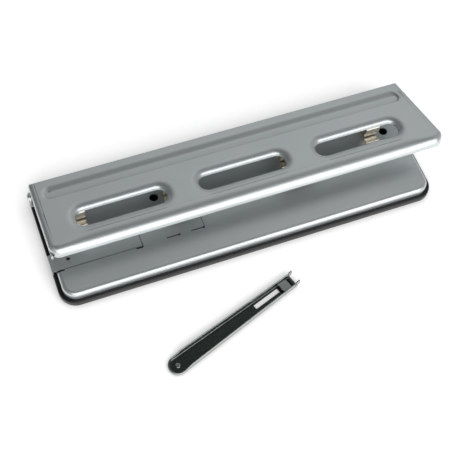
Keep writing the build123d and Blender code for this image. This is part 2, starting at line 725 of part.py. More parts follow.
def tool_outline(inset):
    """The tool's plan: a round end at the origin, tapering to a narrower open end."""
    radius = TOOL_ROUND_RADIUS - inset
    half = TOOL_END_HALF_WIDTH - inset
    slope = math.atan2(TOOL_ROUND_RADIUS - TOOL_END_HALF_WIDTH, TOOL_LENGTH)
    touch_x = radius * math.sin(slope)
    touch_y = radius * math.cos(slope)
    end = TOOL_LENGTH + (OVERCUT if inset else 0.0)
    arc = ThreePointArc((touch_x, touch_y), (-radius, 0), (touch_x, -touch_y))
    sides = Polyline([(touch_x, -touch_y), (end, -half), (end, half), (touch_x, touch_y)])
    return make_face(Curve() + [arc, sides])


def on_table(shape):
    return Pos(TOOL_X, TOOL_Y, 0) * Rot(0, 0, TOOL_ANGLE) * shape


def tool_channel():
    wide = 2 * TOOL_ROUND_RADIUS
    end = TOOL_LENGTH + OVERCUT
    channel = extrude(tool_outline(0), TOOL_PRONG_TOP)
    channel -= block(-wide, TOOL_PRONG_START, -wide, wide, TOOL_HEIGHT, TOOL_PRONG_TOP + OVERCUT)
    channel -= Pos(0, 0, TOOL_SHEET) * extrude(tool_outline(TOOL_SHEET), TOOL_PRONG_TOP)
    channel -= block(TOOL_SLOT_START, TOOL_SLOT_END, *TOOL_SLOT_Y, -OVERCUT, TOOL_SHEET + OVERCUT)
    channel -= block(TOOL_PRONG_START - OVERCUT, end, -wide, wide, -OVERCUT, TOOL_PRONG_BOTTOM)
    channel -= tool_bar()
    return on_table(channel - disc(0, 0, TOOL_RIVET_RADIUS / 2, -OVERCUT, TOOL_SHEET + OVERCUT))


def tool_bar():
    length = 2 * (TOOL_END_HALF_WIDTH + TOOL_BAR_OVERHANG)
    return Pos(TOOL_BAR_X, 0, TOOL_BAR_Z) * Rot(90, 0, 0) * Cylinder(TOOL_BAR_RADIUS, length)


def tool_cross_pin():
    return on_table(tool_bar())


def tool_end_block():
    half = TOOL_END_HALF_WIDTH - TOOL_SHEET - TOOL_BLOCK_GAP
    part = block(TOOL_BLOCK_START, TOOL_BLOCK_END, -half, half, TOOL_SHEET, TOOL_BLOCK_TOP)
    part = fillet(top_edges(part, TOOL_BLOCK_TOP), TOOL_BLOCK_ROUND)
    return on_table(part)


def tool_rivet():
    top = TOOL_SHEET + TOOL_RIVET_HEAD
    shank = disc(0, 0, TOOL_RIVET_RADIUS / 2, TOOL_RIVET_RECESS, TOOL_SHEET)
    head = disc(0, 0, TOOL_RIVET_RADIUS, TOOL_SHEET, top)
    return on_table(shank + fillet(top_edges(head, top), TOOL_RIVET_ROUND))


# ---------------------------------------------------------------- write every node


def save(name, shape):
    if isinstance(shape, list):
        shape = Compound(children=shape)
    export_step(shape, f"parts/{name}.step")


def main():
    os.makedirs("parts", exist_ok=True)
    save("base_tray", base_tray())
    save("rubber_feet", rubber_feet())
    save("base_cover", base_cover())
    save("die_rail", die_rail())
    save("bracket_rivets", bracket_rivets())
    for number, x in enumerate(PUNCH_X, start=1):
        save(f"punch_bracket_{number}", punch_bracket(x))
        save(f"punch_cap_{number}", punch_cap(x))
        save(f"punch_pin_{number}", punch_pin(x))
        save(f"return_spring_{number}", return_spring(x))
    save("hinge_bracket_left", hinge_bracket_left())
    save("hinge_bracket_right", mirrored_x(hinge_bracket_left()))
    save("hinge_pin_left", hinge_pin_left())
    save("hinge_pin_right", mirrored_x(hinge_pin_left()))
    save("hinge_rivets", hinge_rivets())
    save("hinge_clips", hinge_clips())
    save("rear_stop_pads", rear_stop_pads())
    save("lever_plate", lever_plate())
    save("lever_lug_right", lever_lug_right())
    save("lever_stiffener", lever_stiffener())
    save("stop_buffers", stop_buffers())
    save("buffer_studs", buffer_studs())
    save("edge_guide", edge_guide())
    save("guide_channel", guide_channel())
    save("tool_channel", tool_channel())
    save("tool_end_block", tool_end_block())
    save("tool_cross_pin", tool_cross_pin())
    save("tool_rivet", tool_rivet())


main()
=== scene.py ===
"""Looks for a manual strip binding machine: smooth sheet-metal meshes, materials, lights and camera.

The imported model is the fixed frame. Lengths are in millimetres until a mesh is finished.
"""

import json
import math

import bmesh
import bpy
from mathutils import Matrix, Vector


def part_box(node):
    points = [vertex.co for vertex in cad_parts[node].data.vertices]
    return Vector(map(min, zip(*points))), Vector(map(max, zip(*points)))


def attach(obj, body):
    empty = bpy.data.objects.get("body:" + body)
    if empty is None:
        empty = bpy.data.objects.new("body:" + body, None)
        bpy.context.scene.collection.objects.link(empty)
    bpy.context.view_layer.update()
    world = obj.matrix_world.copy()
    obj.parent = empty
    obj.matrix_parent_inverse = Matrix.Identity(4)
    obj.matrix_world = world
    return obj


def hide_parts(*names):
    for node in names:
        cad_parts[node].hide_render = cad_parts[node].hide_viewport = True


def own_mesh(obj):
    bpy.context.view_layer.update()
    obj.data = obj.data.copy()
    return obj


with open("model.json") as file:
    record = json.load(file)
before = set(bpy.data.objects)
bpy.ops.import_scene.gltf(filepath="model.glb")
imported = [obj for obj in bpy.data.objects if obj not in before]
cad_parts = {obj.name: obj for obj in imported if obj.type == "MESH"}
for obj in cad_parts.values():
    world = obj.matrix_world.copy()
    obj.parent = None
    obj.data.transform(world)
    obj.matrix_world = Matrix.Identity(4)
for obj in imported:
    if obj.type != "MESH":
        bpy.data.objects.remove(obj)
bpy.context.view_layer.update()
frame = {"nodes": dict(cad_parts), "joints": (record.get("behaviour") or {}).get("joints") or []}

MM = 0.001
SUPPORT = 0.4
SMOOTH_ANGLE = math.radians(38)

# Camera.
CAMERA_TARGET = Vector((-18.44, -38.55, 20.0)) * MM
CAMERA_DISTANCE = 0.78995
CAMERA_AZIMUTH = math.radians(-26.13)
CAMERA_ELEVATION = math.radians(60.93)
CAMERA_ROLL = math.radians(6.50)
CAMERA_LENS = 79.07

# Lever, drawn flat about its hinge axis.
LEVER_TILT = math.radians(9.1)
LEVER_TOP = 8.0
LEVER_SHEET = 1.5
LEVER_SKIRT = -0.6
LEVER_REAR_SKIRT = 1.5
LEVER_REAR = 7.6
LEVER_FRONT = -64.9
LEVER_LEFT = -156.7
LEVER_RIGHT_REAR = 166.0
LEVER_RIGHT_FRONT = 176.5
LEVER_FRONT_CORNER = 8.0
LEVER_REAR_CORNER = 2.0
LEVER_FRONT_BEND = (11.0, 7.6)
LEVER_CORNER_BEND = (7.0, 6.4)
LEVER_FRONT_EASE = 1.3
LEVER_BEND_FADE = 26.0
LEVER_SIDE_BEND = (4.6, 2.4)
LEVER_SIDE_EASE = 1.6
LEVER_REAR_BEND = (1.9, 1.9)
WINDOW_X = (-93.2, 7.6, 108.4)
WINDOW_Y = -38.35
WINDOW_SIZE = (73.4, 15.7)
WINDOW_CORNER = 7.2
WINDOW_BEND = (7.4, 4.4)
WINDOW_EASE = 1.3
WINDOW_LIP = 3.3
GROOVE_X = (-146.0, 160.0)
GROOVE_Y = (-12.9, -2.9)
GROOVE_DEPTH = 1.5
GROOVE_BACK_DEPTH = 2.0
GROOVE_FRONT_WALL = 0.85
GROOVE_BACK_WALL = 3.6
GROOVE_END_WALL = 1.0
GROOVE_END_SHOULDER = 3.2
GROOVE_END_DIP = 0.35
EAR_RADIUS = 4.3
PIN_BORE = 2.46
TAB_BACK = -56.0
TAB_FRONT = -64.4
TAB_TOP = 3.0

# Base.
COVER_SHEET = 1.2
COVER_ROLL = 3.2
TRAY_CORNER = 14.0
TRAY_WALL = 3.0
TRAY_FLOOR = 2.8
TRAY_RIM_ROUND = 1.4
TRAY_FOOT_CHAMFER = 0.6
TRAY_INNER_ROUND = 0.8
TRAY_INNER_BEVEL = 0.25
COVER_GAP = 0.3
FOOT_RADIUS = 8.0
FOOT_ROUND = 0.7
FOOT_DISH = 0.4
FOOT_WELL_GAP = 0.15
FOOT_PLACES = ((-140, -38), (140, -38), (-140, 38), (140, 38), (0, 0))
PUNCH_X = (-127.0, -50.8, 50.8, 127.0)
PUNCH_Y = 13.2
CHIP_HOLE = 2.4
TOOLING_HOLE = 3.65
TOOLING_X = (-140.0, -64.0, 64.0, 140.0)
TOOLING_Y = 11.7

# Edge guide and the slits beside it.
GUIDE_Y = (-27.0, -12.3)
GUIDE_RIGHT = -86.0
GUIDE_BEND = 1.3
GUIDE_HOLE = (-144.0, -19.5, 1.6)
ARM_X = (-144.7, -139.7)
ARM_BACK = 2.0
FENCE_FRONT = -6.0
GUIDE_TRAVEL = 8.8
TONGUE_Y = (-22.5, -16.5)
TONGUE_BOTTOM = 10.4
TONGUE_OVERLAP = 4.0
GUIDE_EDGE = 0.12
RELIEF_LEFT = (-155.5, -149.0, 1.6)
RELIEF_RIGHT = (-91.5, -85.4, 2.0)
SLIT_Y = -26.4
SLIT_WIDTH = 0.9
SLITS_X = ((-66.0, -54.5), (-45.5, -34.0))
SLIT_EYE = 1.0
SLIT_RETURN_WIDTH = 0.4
SLIT_RETURN_Y = -16.0
GUIDE_FRONT_GAP = 0.7
GUIDE_END_GAP = 0.6

# Hand tool, drawn with its round end at the origin.
TOOL_X = -90.9
TOOL_Y = -126.3
TOOL_ANGLE = math.radians(19.0)
TOOL_LENGTH = 117.0
TOOL_ROUND = 7.7
TOOL_HALF_WIDTH = 5.4
TOOL_HEIGHT = 6.5
TOOL_SHEET = 1.0
TOOL_SLOT = (76.5, 100.5)
TOOL_SLOT_Y = (-0.9, 2.9)
TOOL_LOW_END = 3.6
TOOL_RISE = (1.0, 9.0)
TOOL_PRONG_START = 115.0
TOOL_PRONG_BOTTOM = 2.6
TOOL_PRONG_TOP = 8.6
TOOL_PRONG_OVERLAP = 1.5
TOOL_OUTER_BEND = 1.3
TOOL_INNER_BEND = 1.2

# Return springs.
SPRING_WIRE = 0.45
SPRING_TURNS = 4.0
SPRING_DEAD_TURNS = 0.75

# Metres that the painted shade reaches out of creases, and that the painted shadow on the floor reaches from
# what stands on it.
CREASE_SHADE_REACH = 0.0018
CONTACT_SHADOW_REACH = 0.020

# The studio's walls and ceiling: each soft patch's direction, the cosines of the angles at its rim and
# at its full strength, and that strength.
ROOM_LOBES = (
    ((0, 0, 1), -1.001, -1.0, 0.22),
    ((0.30, 0.78, 0.56), 0.86, 0.99, 0.31),
    ((0.20, 0.47, 0.86), 0.92, 0.995, 0.24),
    ((0.90, 0.35, 0.30), 0.50, 0.98, 0.16),
    ((-0.02, 0.00, 1.00), 0.82, 0.985, -0.21),
    ((-0.95, 0.25, 0.35), 0.30, 0.90, -0.12),
)


# ---------------------------------------------------------------- outlines and sections


def rounded_outline(corners, radii, steps=10):
    """A counter-clockwise outline with round corners, as (point, outward normal) pairs."""
    outline = []
    corners = [Vector(c) for c in corners]
    for i, (corner, radius) in enumerate(zip(corners, radii)):
        ahead = (corners[(i + 1) % len(corners)] - corner).normalized()
        behind = (corner - corners[i - 1]).normalized()
        start = math.atan2(-behind.x, behind.y)
        turn = math.atan2(behind.cross(ahead), behind.dot(ahead))
        side = 1 if turn > 0 else -1
        bisector = (ahead - behind).normalized()
        centre = corner + bisector * (radius / math.cos(turn / 2))
        for k in range(steps + 1):
            angle = start + turn * k / steps
            normal = Vector((math.cos(angle), math.sin(angle)))
            outline.append((centre + normal * radius * side, normal))
    return outline


def rectangle(x0, x1, y0, y1, radius, steps=10):
    return rounded_outline([(x0, y0), (x1, y0), (x1, y1), (x0, y1)], [radius] * 4, steps)


def circle(x, y, radius, steps=32):
    points = []
    for k in range(steps):
        normal = Vector((math.cos(k * math.tau / steps), math.sin(k * math.tau / steps)))
        points.append((Vector((x, y)) + normal * radius, normal))
    return points


def as_hole(outline):
    """The same outline with its normals pointing into the hole."""
    return [(point, -normal) for point, normal in outline]


def bend(width, drop, steps=9, ease=1.0):
    """A quarter bend from flat to vertical: distance along, fall and slope at each step."""
    fine = 20 * steps
    slopes = [math.pi / 2 * (k / fine) ** ease for k in range(fine + 1)]
    along, fall = [0.0], [0.0]
    for first, second in zip(slopes, slopes[1:]):
        middle = (first + second) / 2
        along.append(along[-1] + math.cos(middle))
        fall.append(fall[-1] + math.sin(middle))
    rows = range(0, fine + 1, 20)
    return [(width * along[k] / along[-1], drop * fall[k] / fall[-1], slopes[k]) for k in rows]


def edge_round(outer, bottom, inner, radius, steps=3):
    """The cut edge at the foot of a wall: from the outer face round to the inner face."""
    rows = []
    for k in range(steps + 1):
        angle = math.pi / 2 * k / steps
        rows.append((outer - radius * (1 - math.cos(angle)), bottom + radius * (1 - math.sin(angle))))
    for k in range(steps + 1):
        angle = math.pi / 2 * k / steps
        rows.append((inner + radius * (1 - math.sin(angle)), bottom + radius * (1 - math.cos(angle))))
    return rows


def sheet_chain(top, sheet, bottom, width, drop, ease=1.0, edge=0.25, steps=9):
    """Section of a sheet that turns down at its edge, from the top face round to the underside."""
    curve = bend(width, drop, steps, ease)
    rows = [(-width - SUPPORT, top)]
    rows += [(u - width, top - w) for u, w, slope in curve]
    rows += edge_round(0.0, bottom, -sheet, edge)
    rows += [
        (u - width - sheet * math.sin(slope), top - w - sheet * math.cos(slope))
        for u, w, slope in reversed(curve)
    ]
    rows.append((-width - SUPPORT, top - sheet))
    return rows


def plate_chain(top, bottom, edge=0.2, steps=2):
    """Section of a flat plate's edge, slightly rounded above and below."""
    rows = []
    for k in range(steps + 1):
        angle = math.pi / 2 * k / steps
        rows.append((-edge + edge * math.sin(angle), top - edge + edge * math.cos(angle)))
    for k in range(steps + 1):
        angle = math.pi / 2 * k / steps
        rows.append((-edge + edge * math.cos(angle), bottom + edge - edge * math.sin(angle)))
    return rows


# ---------------------------------------------------------------- mesh building


def bridge(bm, first, second):
    """A closed strip of faces between two loops of vertices."""
    for i in range(len(first)):
        bm.faces.new((first[i - 1], first[i], second[i], second[i - 1]))


def chain_loops(bm, outline, chain_at):
    """Sweeps a section round an outline; chain_at gives the section for a point and its normal."""
    columns = []
    for point, normal in outline:
        section = chain_at(point, normal)
        columns.append([(point.x + normal.x * d, point.y + normal.y * d, z) for d, z in section])
    loops = [[bm.verts.new(co) for co in row] for row in zip(*columns)]
    for first, second in zip(loops, loops[1:]):
        bridge(bm, first, second)
    return loops


def fill_between(bm, loops, up):
    """Fills the flat face that these loops bound, with holes where a loop lies inside another."""
    edges = []
    for loop in loops:
        for i in range(len(loop)):
            pair = (loop[i - 1], loop[i])
            edges.append(bm.edges.get(pair) or bm.edges.new(pair))
    bmesh.ops.triangle_fill(bm, use_beauty=True, use_dissolve=False, edges=edges, normal=(0, 0, up))


def plate(bm, outline, bottom, top, holes=(), edge=0.2):
    """A flat plate of any outline with slightly rounded edges."""
    def section(point, normal):
        return plate_chain(top, bottom, edge)

    rings = [chain_loops(bm, outline, section)]
    rings += [chain_loops(bm, as_hole(hole), section) for hole in holes]
    fill_between(bm, [loops[0] for loops in rings], 1)
    fill_between(bm, [loops[-1] for loops in rings], -1)


def lathe(bm, profile, steps=40):
    """Spins a profile of (radius, height) about Z; a radius of 0 closes it with a point."""
    previous = None
    for radius, z in profile:
        if radius == 0:
            loop = [bm.verts.new((0, 0, z))]
        else:
            turns = [k * math.tau / steps for k in range(steps)]
            loop = [bm.verts.new((radius * math.cos(a), radius * math.sin(a), z)) for a in turns]
        if previous and len(previous) == 1:
            for i in range(steps):
                bm.faces.new((previous[0], loop[i - 1], loop[i]))
        elif previous and len(loop) == 1:
            for i in range(steps):
                bm.faces.new((previous[i - 1], previous[i], loop[0]))
        elif previous:
            bridge(bm, previous, loop)
        previous = loop


def turned(bm, place, profile, steps=40):
    """A lathe form put in place by a matrix."""
    part = bmesh.new()
    lathe(part, profile, steps)
    add_part(bm, part, place)


def add_part(bm, part, place=Matrix.Identity(4)):
    """Moves a bmesh by a matrix and adds it to another."""
    part.transform(place)
    mesh = bpy.data.meshes.new("part")
    part.to_mesh(mesh)
    part.free()
    bm.from_mesh(mesh)
    bpy.data.meshes.remove(mesh)


def solid(bm, place=Matrix.Identity(4)):
    """A temporary object, in millimetres, for cutting and joining."""
    bm.transform(place)
    bmesh.ops.recalc_face_normals(bm, faces=bm.faces)
    mesh = bpy.data.meshes.new("solid")
    bm.to_mesh(mesh)
    bm.free()
    obj = bpy.data.objects.new("solid", mesh)
    bpy.context.scene.collection.objects.link(obj)
    return obj


def combine(obj, others, operation):
    """Cuts the others from an object, or joins them to it, and removes them."""
    for other in others:
        modifier = obj.modifiers.new("combine", "BOOLEAN")
        modifier.operation = operation
        modifier.solver = "EXACT"
        modifier.object = other
    mesh = evaluated_mesh(obj)
    obj.modifiers.clear()
    obj.data = mesh
    for other in others:
        bpy.data.objects.remove(other)
    return obj


def evaluated_mesh(obj):
    graph = bpy.context.evaluated_depsgraph_get()
    return bpy.data.meshes.new_from_object(obj.evaluated_get(graph))


def cutter(outline, bottom, top):
    """A plain prism for cutting."""
    bm = bmesh.new()
    lower = [bm.verts.new((point.x, point.y, bottom)) for point, normal in outline]
    upper = [bm.verts.new((point.x, point.y, top)) for point, normal in outline]
    bridge(bm, lower, upper)
    bm.faces.new(lower)
    bm.faces.new(upper)
    return solid(bm)


def block(x0, x1, y0, y1):
    """A sharp rectangle as an outline."""
    corners = [(x0, y0), (x1, y0), (x1, y1), (x0, y1)]
    return [(Vector(corner), Vector((0, 0))) for corner in corners]


def finish_piece(obj, name, body, slot, material, *nodes):
    """Scales a solid to metres, smooths it, gives it its material and lets it ride on its body."""
    obj.name = name
    mesh = obj.data
    mesh.name = name
    mesh.transform(Matrix.Scale(MM, 4))
    mesh.polygons.foreach_set("use_smooth", [True] * len(mesh.polygons))
    mesh.set_sharp_from_angle(angle=SMOOTH_ANGLE)
    mesh.materials.clear()
    mesh.materials.append(material)
    normals = obj.modifiers.new("normals", "WEIGHTED_NORMAL")
    normals.keep_sharp = True
    normals.weight = 80
    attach(obj, body)
    if nodes:
        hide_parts(*nodes)
    return obj


# Placements for plates drawn flat: standing across X, and standing across Y.
FACE_X = Matrix(((0, 0, 1, 0), (1, 0, 0, 0), (0, 1, 0, 0), (0, 0, 0, 1)))
FACE_Y = Matrix(((1, 0, 0, 0), (0, 0, 1, 0), (0, 1, 0, 0), (0, 0, 0, 1)))


# ---------------------------------------------------------------- materials


class Nodes:
    """A short way to build a material's node tree."""

    def __init__(self, name):
        self.material = bpy.data.materials.new(name)
        self.material.use_nodes = True
        self.tree = self.material.node_tree
        self.shader = self.tree.nodes["Principled BSDF"]
        self.coordinates = self.new("ShaderNodeTexCoord").outputs["Object"]

    def new(self, kind, **values):
        node = self.tree.nodes.new(kind)
        for key, value in values.items():
            setattr(node, key, value)
        return node

    def link(self, source, target):
        self.tree.links.new(source, target)

    def stretched(self, scale):
        """Object coordinates multiplied by a vector, in repeats per metre."""
        mapping = self.new("ShaderNodeMapping")
        mapping.inputs["Scale"].default_value = scale
        self.link(self.coordinates, mapping.inputs["Vector"])
        return mapping.outputs["Vector"]

    def noise(self, scale, detail=2.0, roughness=0.5, vector=None):
        node = self.new("ShaderNodeTexNoise")
        node.inputs["Scale"].default_value = scale
        node.inputs["Detail"].default_value = detail
        node.inputs["Roughness"].default_value = roughness
        self.link(vector or self.coordinates, node.inputs["Vector"])
        return node.outputs["Fac"]

    def remap(self, source, low, high, start=0.3, end=0.7):
        node = self.new("ShaderNodeMapRange")
        node.inputs["From Min"].default_value = start
        node.inputs["From Max"].default_value = end
        node.inputs["To Min"].default_value = low
        node.inputs["To Max"].default_value = high
        self.link(source, node.inputs["Value"])
        return node.outputs["Result"]

    def mix(self, factor, first, second):
        """A colour between two, each a colour or a socket."""
        node = self.new("ShaderNodeMix", data_type="RGBA")
        self.link(factor, node.inputs["Factor"])
        for socket, value in ((node.inputs[6], first), (node.inputs[7], second)):
            if isinstance(value, tuple):
                socket.default_value = (*value, 1.0)
            else:
                self.link(value, socket)
        return node.outputs[2]

    def bump(self, height, strength, distance, below=None):
        node = self.new("ShaderNodeBump")
        node.inputs["Strength"].default_value = strength
        node.inputs["Distance"].default_value = distance
        self.link(height, node.inputs["Height"])
        if below:
            self.link(below, node.inputs["Normal"])
        return node.outputs["Normal"]

    def surface(self, colour=None, roughness=None, normal=None, **values):
        """Links the varying inputs and sets the constant ones on the shader."""
        for name, source in (("Base Color", colour), ("Roughness", roughness), ("Normal", normal)):
            if source is not None:
                self.link(source, self.shader.inputs[name])
        for name, value in values.items():
            self.shader.inputs[name.replace("_", " ")].default_value = value
        return self.material


def silver_paint():
    """Satin metallic lacquer: fine flake, faint clouding, hairline scuffs, and painted shade in tight
    creases.
    """
    n = Nodes("silver_paint")
    cloud = n.noise(14.0, 3.0)
    flake = n.noise(2600.0, 2.0, 0.6)
    scuff = n.noise(1.0, 4.0, 0.7, n.stretched((30.0, 420.0, 60.0)))
    base = n.mix(n.remap(cloud, 0.0, 1.0), (0.575, 0.61, 0.615), (0.615, 0.645, 0.65))
    colour = n.mix(n.remap(flake, 0.0, 0.16, 0.35, 0.75), base, (0.76, 0.775, 0.775))
    # Painted shade: ambient occlusion darkens the paint towards a dark grey in tight creases and hollows of
    # the same piece.
    crease_shade = n.new("ShaderNodeAmbientOcclusion", samples=8, only_local=True)
    crease_shade.inputs["Distance"].default_value = CREASE_SHADE_REACH
    colour = n.mix(n.remap(crease_shade.outputs["AO"], 0.0, 1.0, 0.45, 0.85), (0.16, 0.165, 0.17), colour)
    rough = n.remap(scuff, 0.33, 0.37, 0.35, 0.75)
    grain = n.bump(flake, 0.10, 0.00004)
    wave = n.bump(n.noise(22.0, 1.0), 0.06, 0.0006, grain)
    return n.surface(colour, rough, wave, Metallic=0.72)


def black_plastic():
    """Moulded ABS with a fine spark-eroded grain."""
    n = Nodes("black_plastic")
    grain = n.noise(1500.0, 3.0, 0.65)
    handling = n.noise(35.0, 3.0)
    colour = n.mix(n.remap(handling, 0.0, 1.0), (0.010, 0.010, 0.011), (0.018, 0.018, 0.019))
    rough = n.remap(handling, 0.27, 0.38)
    return n.surface(colour, rough, n.bump(grain, 0.25, 0.00005), Specular_IOR_Level=0.35)


def rubber():
    n = Nodes("rubber")
    grain = n.noise(900.0, 4.0, 0.6)
    dust = n.noise(60.0, 3.0)
    colour = n.mix(n.remap(dust, 0.0, 1.0), (0.016, 0.016, 0.016), (0.035, 0.034, 0.033))
    rough = n.remap(dust, 0.68, 0.85)
    return n.surface(colour, rough, n.bump(grain, 0.3, 0.00006), Specular_IOR_Level=0.4)


def zinc_plate():
    """Yellow-passivated zinc on sheet steel, with its cloudy iridescence."""
    n = Nodes("zinc_plate")
    cloud = n.noise(160.0, 4.0, 0.6)
    grain = n.noise(1.0, 3.0, 0.6, n.stretched((300.0, 2400.0, 300.0)))
    colour = n.mix(n.remap(cloud, 0.0, 1.0), (0.76, 0.69, 0.58), (0.86, 0.82, 0.74))
    rough = n.remap(grain, 0.26, 0.40)
    return n.surface(colour, rough, n.bump(grain, 0.15, 0.00003), Metallic=1.0)


def bright_steel():
    n = Nodes("bright_steel")
    grain = n.noise(1.0, 3.0, 0.6, n.stretched((2600.0, 500.0, 500.0)))
    colour = n.mix(n.remap(grain, 0.0, 1.0), (0.62, 0.62, 0.62), (0.74, 0.74, 0.73))
    rough = n.remap(grain, 0.16, 0.28)
    return n.surface(colour, rough, n.bump(grain, 0.1, 0.00002), Metallic=1.0)


def spring_steel():
    n = Nodes("spring_steel")
    temper = n.noise(220.0, 2.0)
    colour = n.mix(n.remap(temper, 0.0, 1.0), (0.36, 0.36, 0.37), (0.50, 0.49, 0.47))
    rough = n.remap(temper, 0.22, 0.34)
    return n.surface(colour, rough, n.bump(temper, 0.1, 0.00002), Metallic=1.0)


def dark_chrome():
    """Black nickel plating with smears and speckle, painted lighter on the walls as a highlight and darker
    along the floor of the channel as shade.
    """
    n = Nodes("dark_chrome")
    smear = n.noise(1.0, 4.0, 0.65, n.stretched((60.0, 240.0, 120.0)))
    speck = n.noise(900.0, 3.0, 0.7)
    height = n.new("ShaderNodeSeparateXYZ")
    n.link(n.coordinates, height.inputs["Vector"])
    # Painted light: below about 1.05 mm the channel's floor is painted dark as shade, and above about 1.6 mm
    # the walls are painted light as a highlight; the smear and speckle are the plating's own.
    above = n.remap(height.outputs["Z"], 0.0, 1.0, 1.05 * MM, 1.6 * MM)
    speckled_floor_shade = n.mix(n.remap(speck, 0.0, 1.0, 0.56, 0.72), (0.055, 0.066, 0.062), (0.24, 0.26, 0.25))
    plating = n.mix(n.remap(smear, 0.0, 1.0), (0.32, 0.345, 0.325), (0.44, 0.46, 0.445))
    rough = n.remap(smear, 0.16, 0.28)
    grain = n.bump(speck, 0.12, 0.00005)
    return n.surface(n.mix(above, speckled_floor_shade, plating), rough, grain, Metallic=1.0)


SILVER = silver_paint()
PLASTIC = black_plastic()
RUBBER = rubber()
ZINC = zinc_plate()
STEEL = bright_steel()
SPRING = spring_steel()
CHROME = dark_chrome()
SLOT_MATERIALS = {
    "silver_paint": SILVER,
    "black_plastic": PLASTIC,
    "rubber": RUBBER,
    "zinc_plate": ZINC,
    "bright_steel": STEEL,
    "spring_steel": SPRING,
    "dark_chrome": CHROME,
}


# ---------------------------------------------------------------- lever


def lever_frame():
    """The place of the lever's own frame, on its hinge axis at the rest tilt."""
    hinge = next(j for j in frame["joints"] if j["name"] == "lever_hinge")
    place = Matrix.Translation(Vector(hinge["pos_m"]) / MM)
    return place @ Matrix.Rotation(-LEVER_TILT, 4, "X")


def ease_in_out(t):
    t = min(1.0, max(0.0, t))
    return t * t * (3 - 2 * t)


def lever_edge_section(point, normal):
    """The front edge is a wide soft bend, the sides have a soft shoulder and the rear is tight."""
    front = ease_in_out(-normal.y)
    rear = ease_in_out(normal.y)
    corner_x = (LEVER_LEFT + LEVER_FRONT_CORNER, LEVER_RIGHT_FRONT - LEVER_FRONT_CORNER)
    wide = ease_in_out(min(point.x - corner_x[0], corner_x[1] - point.x) / LEVER_BEND_FADE)
    full = [a + (b - a) * wide for a, b in zip(LEVER_CORNER_BEND, LEVER_FRONT_BEND)]
    bends = zip(LEVER_SIDE_BEND, full, LEVER_REAR_BEND)
    width, drop = [a + (b - a) * front + (c - a) * rear for a, b, c in bends]
    ease = LEVER_SIDE_EASE + (LEVER_FRONT_EASE - LEVER_SIDE_EASE) * front + (1.0 - LEVER_SIDE_EASE) * rear
    skirt = LEVER_REAR_SKIRT if normal.y > 0.5 else LEVER_SKIRT
    return sheet_chain(LEVER_TOP, LEVER_SHEET, skirt, width, drop, ease, steps=12)


def window_section(point, normal):
    return sheet_chain(LEVER_TOP, LEVER_SHEET, WINDOW_LIP, *WINDOW_BEND, WINDOW_EASE, steps=12)


def groove_floor(y):
    """How far the groove's floor lies below the top face: it is deepest along the ramp at the back."""
    share = (y - GROOVE_Y[0]) / (GROOVE_Y[1] - GROOVE_Y[0])
    return GROOVE_DEPTH + (GROOVE_BACK_DEPTH - GROOVE_DEPTH) * share


def groove_section(point, normal, depth):
    """A step down into the groove, at a depth below the top face.

    It is steep at the front, a soft ramp at the back, and has a dished shoulder outside each end.
    """
    share = ease_in_out((1 - normal.y) / 2)
    at_end = ease_in_out(abs(normal.x))
    reach = GROOVE_FRONT_WALL + (GROOVE_BACK_WALL - GROOVE_FRONT_WALL) * share
    reach += (GROOVE_END_WALL - reach) * at_end
    shoulder = GROOVE_END_SHOULDER * at_end
    dip = GROOVE_END_DIP * at_end
    floor_fall = groove_floor(point.y + normal.y * reach)
    rows = [(-reach - shoulder - SUPPORT, LEVER_TOP - depth)]
    steps = 6
    for k in range(steps):
        t = k / steps
        rows.append((-reach - shoulder * (1 - t), LEVER_TOP - dip * t * t - depth))
    steps = 12
    for k in range(steps + 1):
        t = k / steps
        slope = math.atan2((floor_fall - dip) * 6 * t * (1 - t), 2 * reach)
        d = reach * (2 * t - 1) - depth * math.sin(slope)
        fall = dip + (floor_fall - dip) * ease_in_out(t)
        rows.append((d, LEVER_TOP - fall - depth * math.cos(slope)))
    rows.append((reach + SUPPORT, LEVER_TOP - groove_floor(point.y + normal.y * (reach + SUPPORT)) - depth))
    return rows


def front_stations():
    """Places along the front edge where the bend's section may change, closer together near the corners."""
    steps = 10
    left = LEVER_LEFT + LEVER_FRONT_CORNER
    right = LEVER_RIGHT_FRONT - LEVER_FRONT_CORNER - 2
    fade = [LEVER_BEND_FADE * k / steps for k in range(1, steps + 1)]
    return [left + d for d in fade] + [right - d for d in reversed(fade)]


